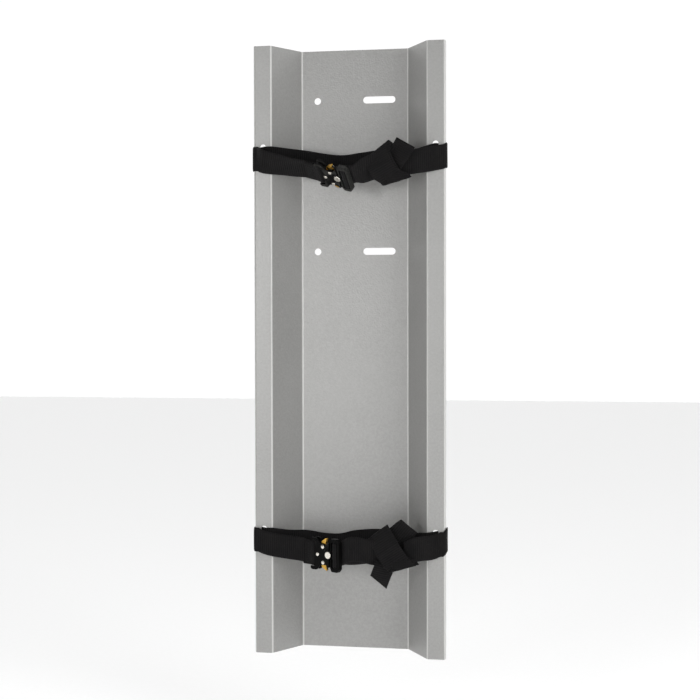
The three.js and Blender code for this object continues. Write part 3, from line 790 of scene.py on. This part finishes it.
def straps(level, matrix):
    """One level's webbing, apart from its knot."""
    data = LEVELS[level]
    route = strap_route(level, matrix)
    strap = webbing(f"{level}_strap_webbing", route, HOLDER, [f"{level}_strap"])
    first, last, row_gap = 2.2, data["sewn_end"] - 8.1, 1.4
    rows = [(s, -SEAM, s, SEAM) for s in (first, first + row_gap, last - row_gap, last)]
    edges = [(first, t, last, t) for t in (-SEAM, SEAM)]
    stitches(f"{level}_strap_stitching", route, rows + edges, HOLDER)

    male = f"{level}_male_half"
    fold = Route(through(in_buckle(matrix, ADJUSTER_FOLD), 6), soften=0.5)
    piece = webbing(f"{level}_adjuster_fold_webbing", fold, male, [f"{level}_strap_adjuster_fold"])

    start = LAYERS["end"] + GAP
    middle = (LAYERS["near"] + LAYERS["far"]) / 2
    begin = matrix @ Vector(((start + 1) * MM, 0, middle * MM))
    release = Vector(JOINTS[f"{level}_tongue_release"]["axis"])
    for k, (stations, side) in enumerate(zip(data["front_run"], ("near", "far"))):
        lift = LAYERS["lift"] - k
        first = in_buckle(matrix, [[start, LAYERS[side], lift], [start + 1, LAYERS[side], lift + 0.2]])
        run = with_up(through([[*first[-1][:3], roll_of(matrix)], *stations]))
        line = Route(np.vstack([first[:1], run]), soften=0.8, wander=0.1, seed=7 + k)
        blend = (male, HOLDER, tuple(begin), tuple(begin + release * 8 * MM))
        nodes = [f"{level}_strap_front_run"]
        piece = webbing(f"{level}_front_webbing_{k + 1}", line, None, nodes, blend=blend)


def ply(name, strip, node, slant=0.0):
    """One strip of a knot: its webbing."""
    piece = webbing(name, strip, HOLDER, [node], slant=slant)


def knots():
    """The two knots: a doubled band creased over itself, the strap's tail and a rear loop."""
    bulge = [[0, 0], [21, 1.0], [38, 6.2], [52, 4.2], [60, 2.6], [80, 1.5]]
    under_bulge = [[0, 0], [21, 0.4], [38, 4.4], [52, 2.6], [60, 1.2], [80, 0.6]]
    creases = [(21, 78.7, 1), (60.1, 101.6, -1)]
    edge = [[21, 0], [22, 0], [30, 1.6], [41, 2.4], [48, 1.2], [54, -2.2], [59, -7], [63, -8.5], [70, -3]]
    under_edge = [[0, -1], [8, -5], [23, -5], [30, -0.6], [41, 0], [50, -0.6], [56, -3], [61, -8], [69, 0]]
    upper = [
        ("band", Folded([47.3, -57.5, 195.8], 140.6, creases, bulge, 70, edge, seed=1)),
        ("under", Folded([47.3, -57.2, 195.8], 140.6, creases, under_bulge, 69, under_edge, seed=2)),
    ]
    for key, strip in upper:
        ply(f"upper_knot_{key}", strip, "upper_strap_knot")
    tail = Folded([48.7, -59.8, 193.4], 59, [], [[0, -1.5], [12, 0.6], [28, 1.5]], 28,
                  [[0, 3.3], [8, 1.6], [15, 0]], tilt=-24, cup=-1.0, seed=3)
    ply("upper_tail_webbing", tail, "upper_strap_tail")

    bulge = [[0, 0], [23, 1.0], [44, 6.2], [60, 4.4], [69, 3.0], [90, 1.5]]
    under_bulge = [[0, 0], [23, 0.4], [44, 4.4], [60, 2.8], [69, 1.2], [90, 0.6]]
    creases = [(23, 84.6, 1), (69.6, 105.5, -1)]
    edge = [[0, 5], [14, 4], [22, 0], [61, 0], [66, -1], [69, -2.8], [73, -4], [80, 3]]
    under_edge = [[0, 6], [14, 5], [22, 1.5], [58, 1.5], [64, -1], [68, -4], [73, -7], [79, 2]]
    lower = [
        ("band", Folded([49.2, -57.5, -204.9], 133.2, creases, bulge, 80, edge, seed=4)),
        ("under", Folded([49.2, -57.2, -204.9], 133.2, creases, under_bulge, 79, under_edge, seed=5)),
        ("loop", Folded([58, -53, -204.9], 117.2, [(24, 101.4, 1)],
                        [[0, 0], [24, 1.2], [38, -0.5], [49, -3.8]], 49, seed=6)),
    ]
    for key, strip in lower:
        ply(f"lower_knot_{key}", strip, "lower_strap_knot")
    tail = Folded([44, -59.4, -217.6], -111, [], [[0, -0.5], [12, 0.8], [28, 1.2]], 26, tilt=-41,
                  cup=-0.8, seed=7)
    ply("lower_tail_webbing", tail, "lower_strap_tail", slant=5.2)


# ---- the room ------------------------------------------------------------------------------------
def camera():
    """A long lens from a little to the right, held almost level."""
    data = bpy.data.cameras.new("camera")
    data.lens = 71.63
    data.sensor_width = 36
    place = Vector((0.254284, -1.496146, 0.038649))
    azimuth, elevation, roll = (math.radians(a) for a in (9.868, 1.452, -0.104))
    back = Vector((
        math.sin(azimuth) * math.cos(elevation), -math.cos(azimuth) * math.cos(elevation),
        math.sin(elevation),
    ))
    level = Vector((math.cos(azimuth), math.sin(azimuth), 0))
    up = back.cross(level)
    across = level * math.cos(roll) + up * math.sin(roll)
    upright = up * math.cos(roll) - level * math.sin(roll)
    piece = bpy.data.objects.new("camera", data)
    piece.matrix_world = Matrix.Translation(place) @ Matrix((across, upright, back)).transposed().to_4x4()
    bpy.context.scene.collection.objects.link(piece)
    bpy.context.scene.camera = piece


def softbox(name, place, target, size, power):
    """A rectangular lamp at place that faces target; sizes in metres, power in watts."""
    data = bpy.data.lights.new(name, "AREA")
    data.shape = "RECTANGLE"
    data.size, data.size_y = size
    data.energy = power
    piece = bpy.data.objects.new(name, data)
    piece.location = place
    piece.rotation_euler = (Vector(target) - Vector(place)).to_track_quat("-Z", "Y").to_euler()
    bpy.context.scene.collection.objects.link(piece)


def studio():
    """A pale room, seen as pale all round, that lights from behind and above; lamps light the front."""
    backdrop = 1.02
    scene = bpy.context.scene
    scene.view_settings.view_transform = "Standard"
    world = bpy.data.worlds.new("pale_studio")
    world.use_nodes = True
    tree = world.node_tree
    direction = tree.nodes.new("ShaderNodeTexCoord")
    parts = tree.nodes.new("ShaderNodeSeparateXYZ")
    tree.links.new(direction.outputs["Generated"], parts.inputs["Vector"])
    glow = tree.nodes.new("ShaderNodeMath")
    sources = (("Y", (-0.02, 0.02), backdrop), ("Z", (0.78, 0.85), 1.12))
    for place, (axis, edges, level) in enumerate(sources):
        ramp = tree.nodes.new("ShaderNodeMapRange")
        tree.links.new(parts.outputs[axis], ramp.inputs["Value"])
        for socket, value in zip(("From Min", "From Max", "To Min", "To Max"), (*edges, 0, level)):
            ramp.inputs[socket].default_value = value
        tree.links.new(ramp.outputs["Result"], glow.inputs[place])
    seen = tree.nodes.new("ShaderNodeMix")
    rays = tree.nodes.new("ShaderNodeLightPath")
    tree.links.new(rays.outputs["Is Camera Ray"], seen.inputs["Factor"])
    tree.links.new(glow.outputs["Value"], seen.inputs["A"])
    seen.inputs["B"].default_value = backdrop
    tree.links.new(seen.outputs["Result"], tree.nodes["Background"].inputs["Strength"])
    tree.nodes["Background"].inputs["Color"].default_value = (1, 1, 1, 1)
    scene.world = world
    softbox("key_right", (1.5, -1.3, 1.1), (0, 0, 0.1), (1.0, 1.6), 9)
    softbox("side_right", (1.6, -1.2, 0.1), (0, 0, 0), (0.7, 1.6), 8)
    softbox("fill_left", (-0.7, -1.6, 0.15), (-0.05, 0, 0.05), (0.35, 0.4), 6.6)
    softbox("front", (0.15, -2.2, 0.2), (0, 0, 0), (0.8, 1.0), 3.8)

    half = 6.0
    drop = 0.1  # how far the holder hangs over the floor
    mesh = bpy.data.meshes.new("floor")
    low = CAD_BOX[0][2] - drop
    mesh.from_pydata(
        [(-half, -half, low), (half, -half, low), (half, half, low), (-half, half, low)], [], [(0, 1, 2, 3)],
    )
    floor = finish_mesh("floor", mesh, "pale_floor", None)


camera()
studio()
refined("wall_channel", "grey_hammertone_paint", 0.35)
for name in LEVELS:
    straps(name, buckle(name))
knots()
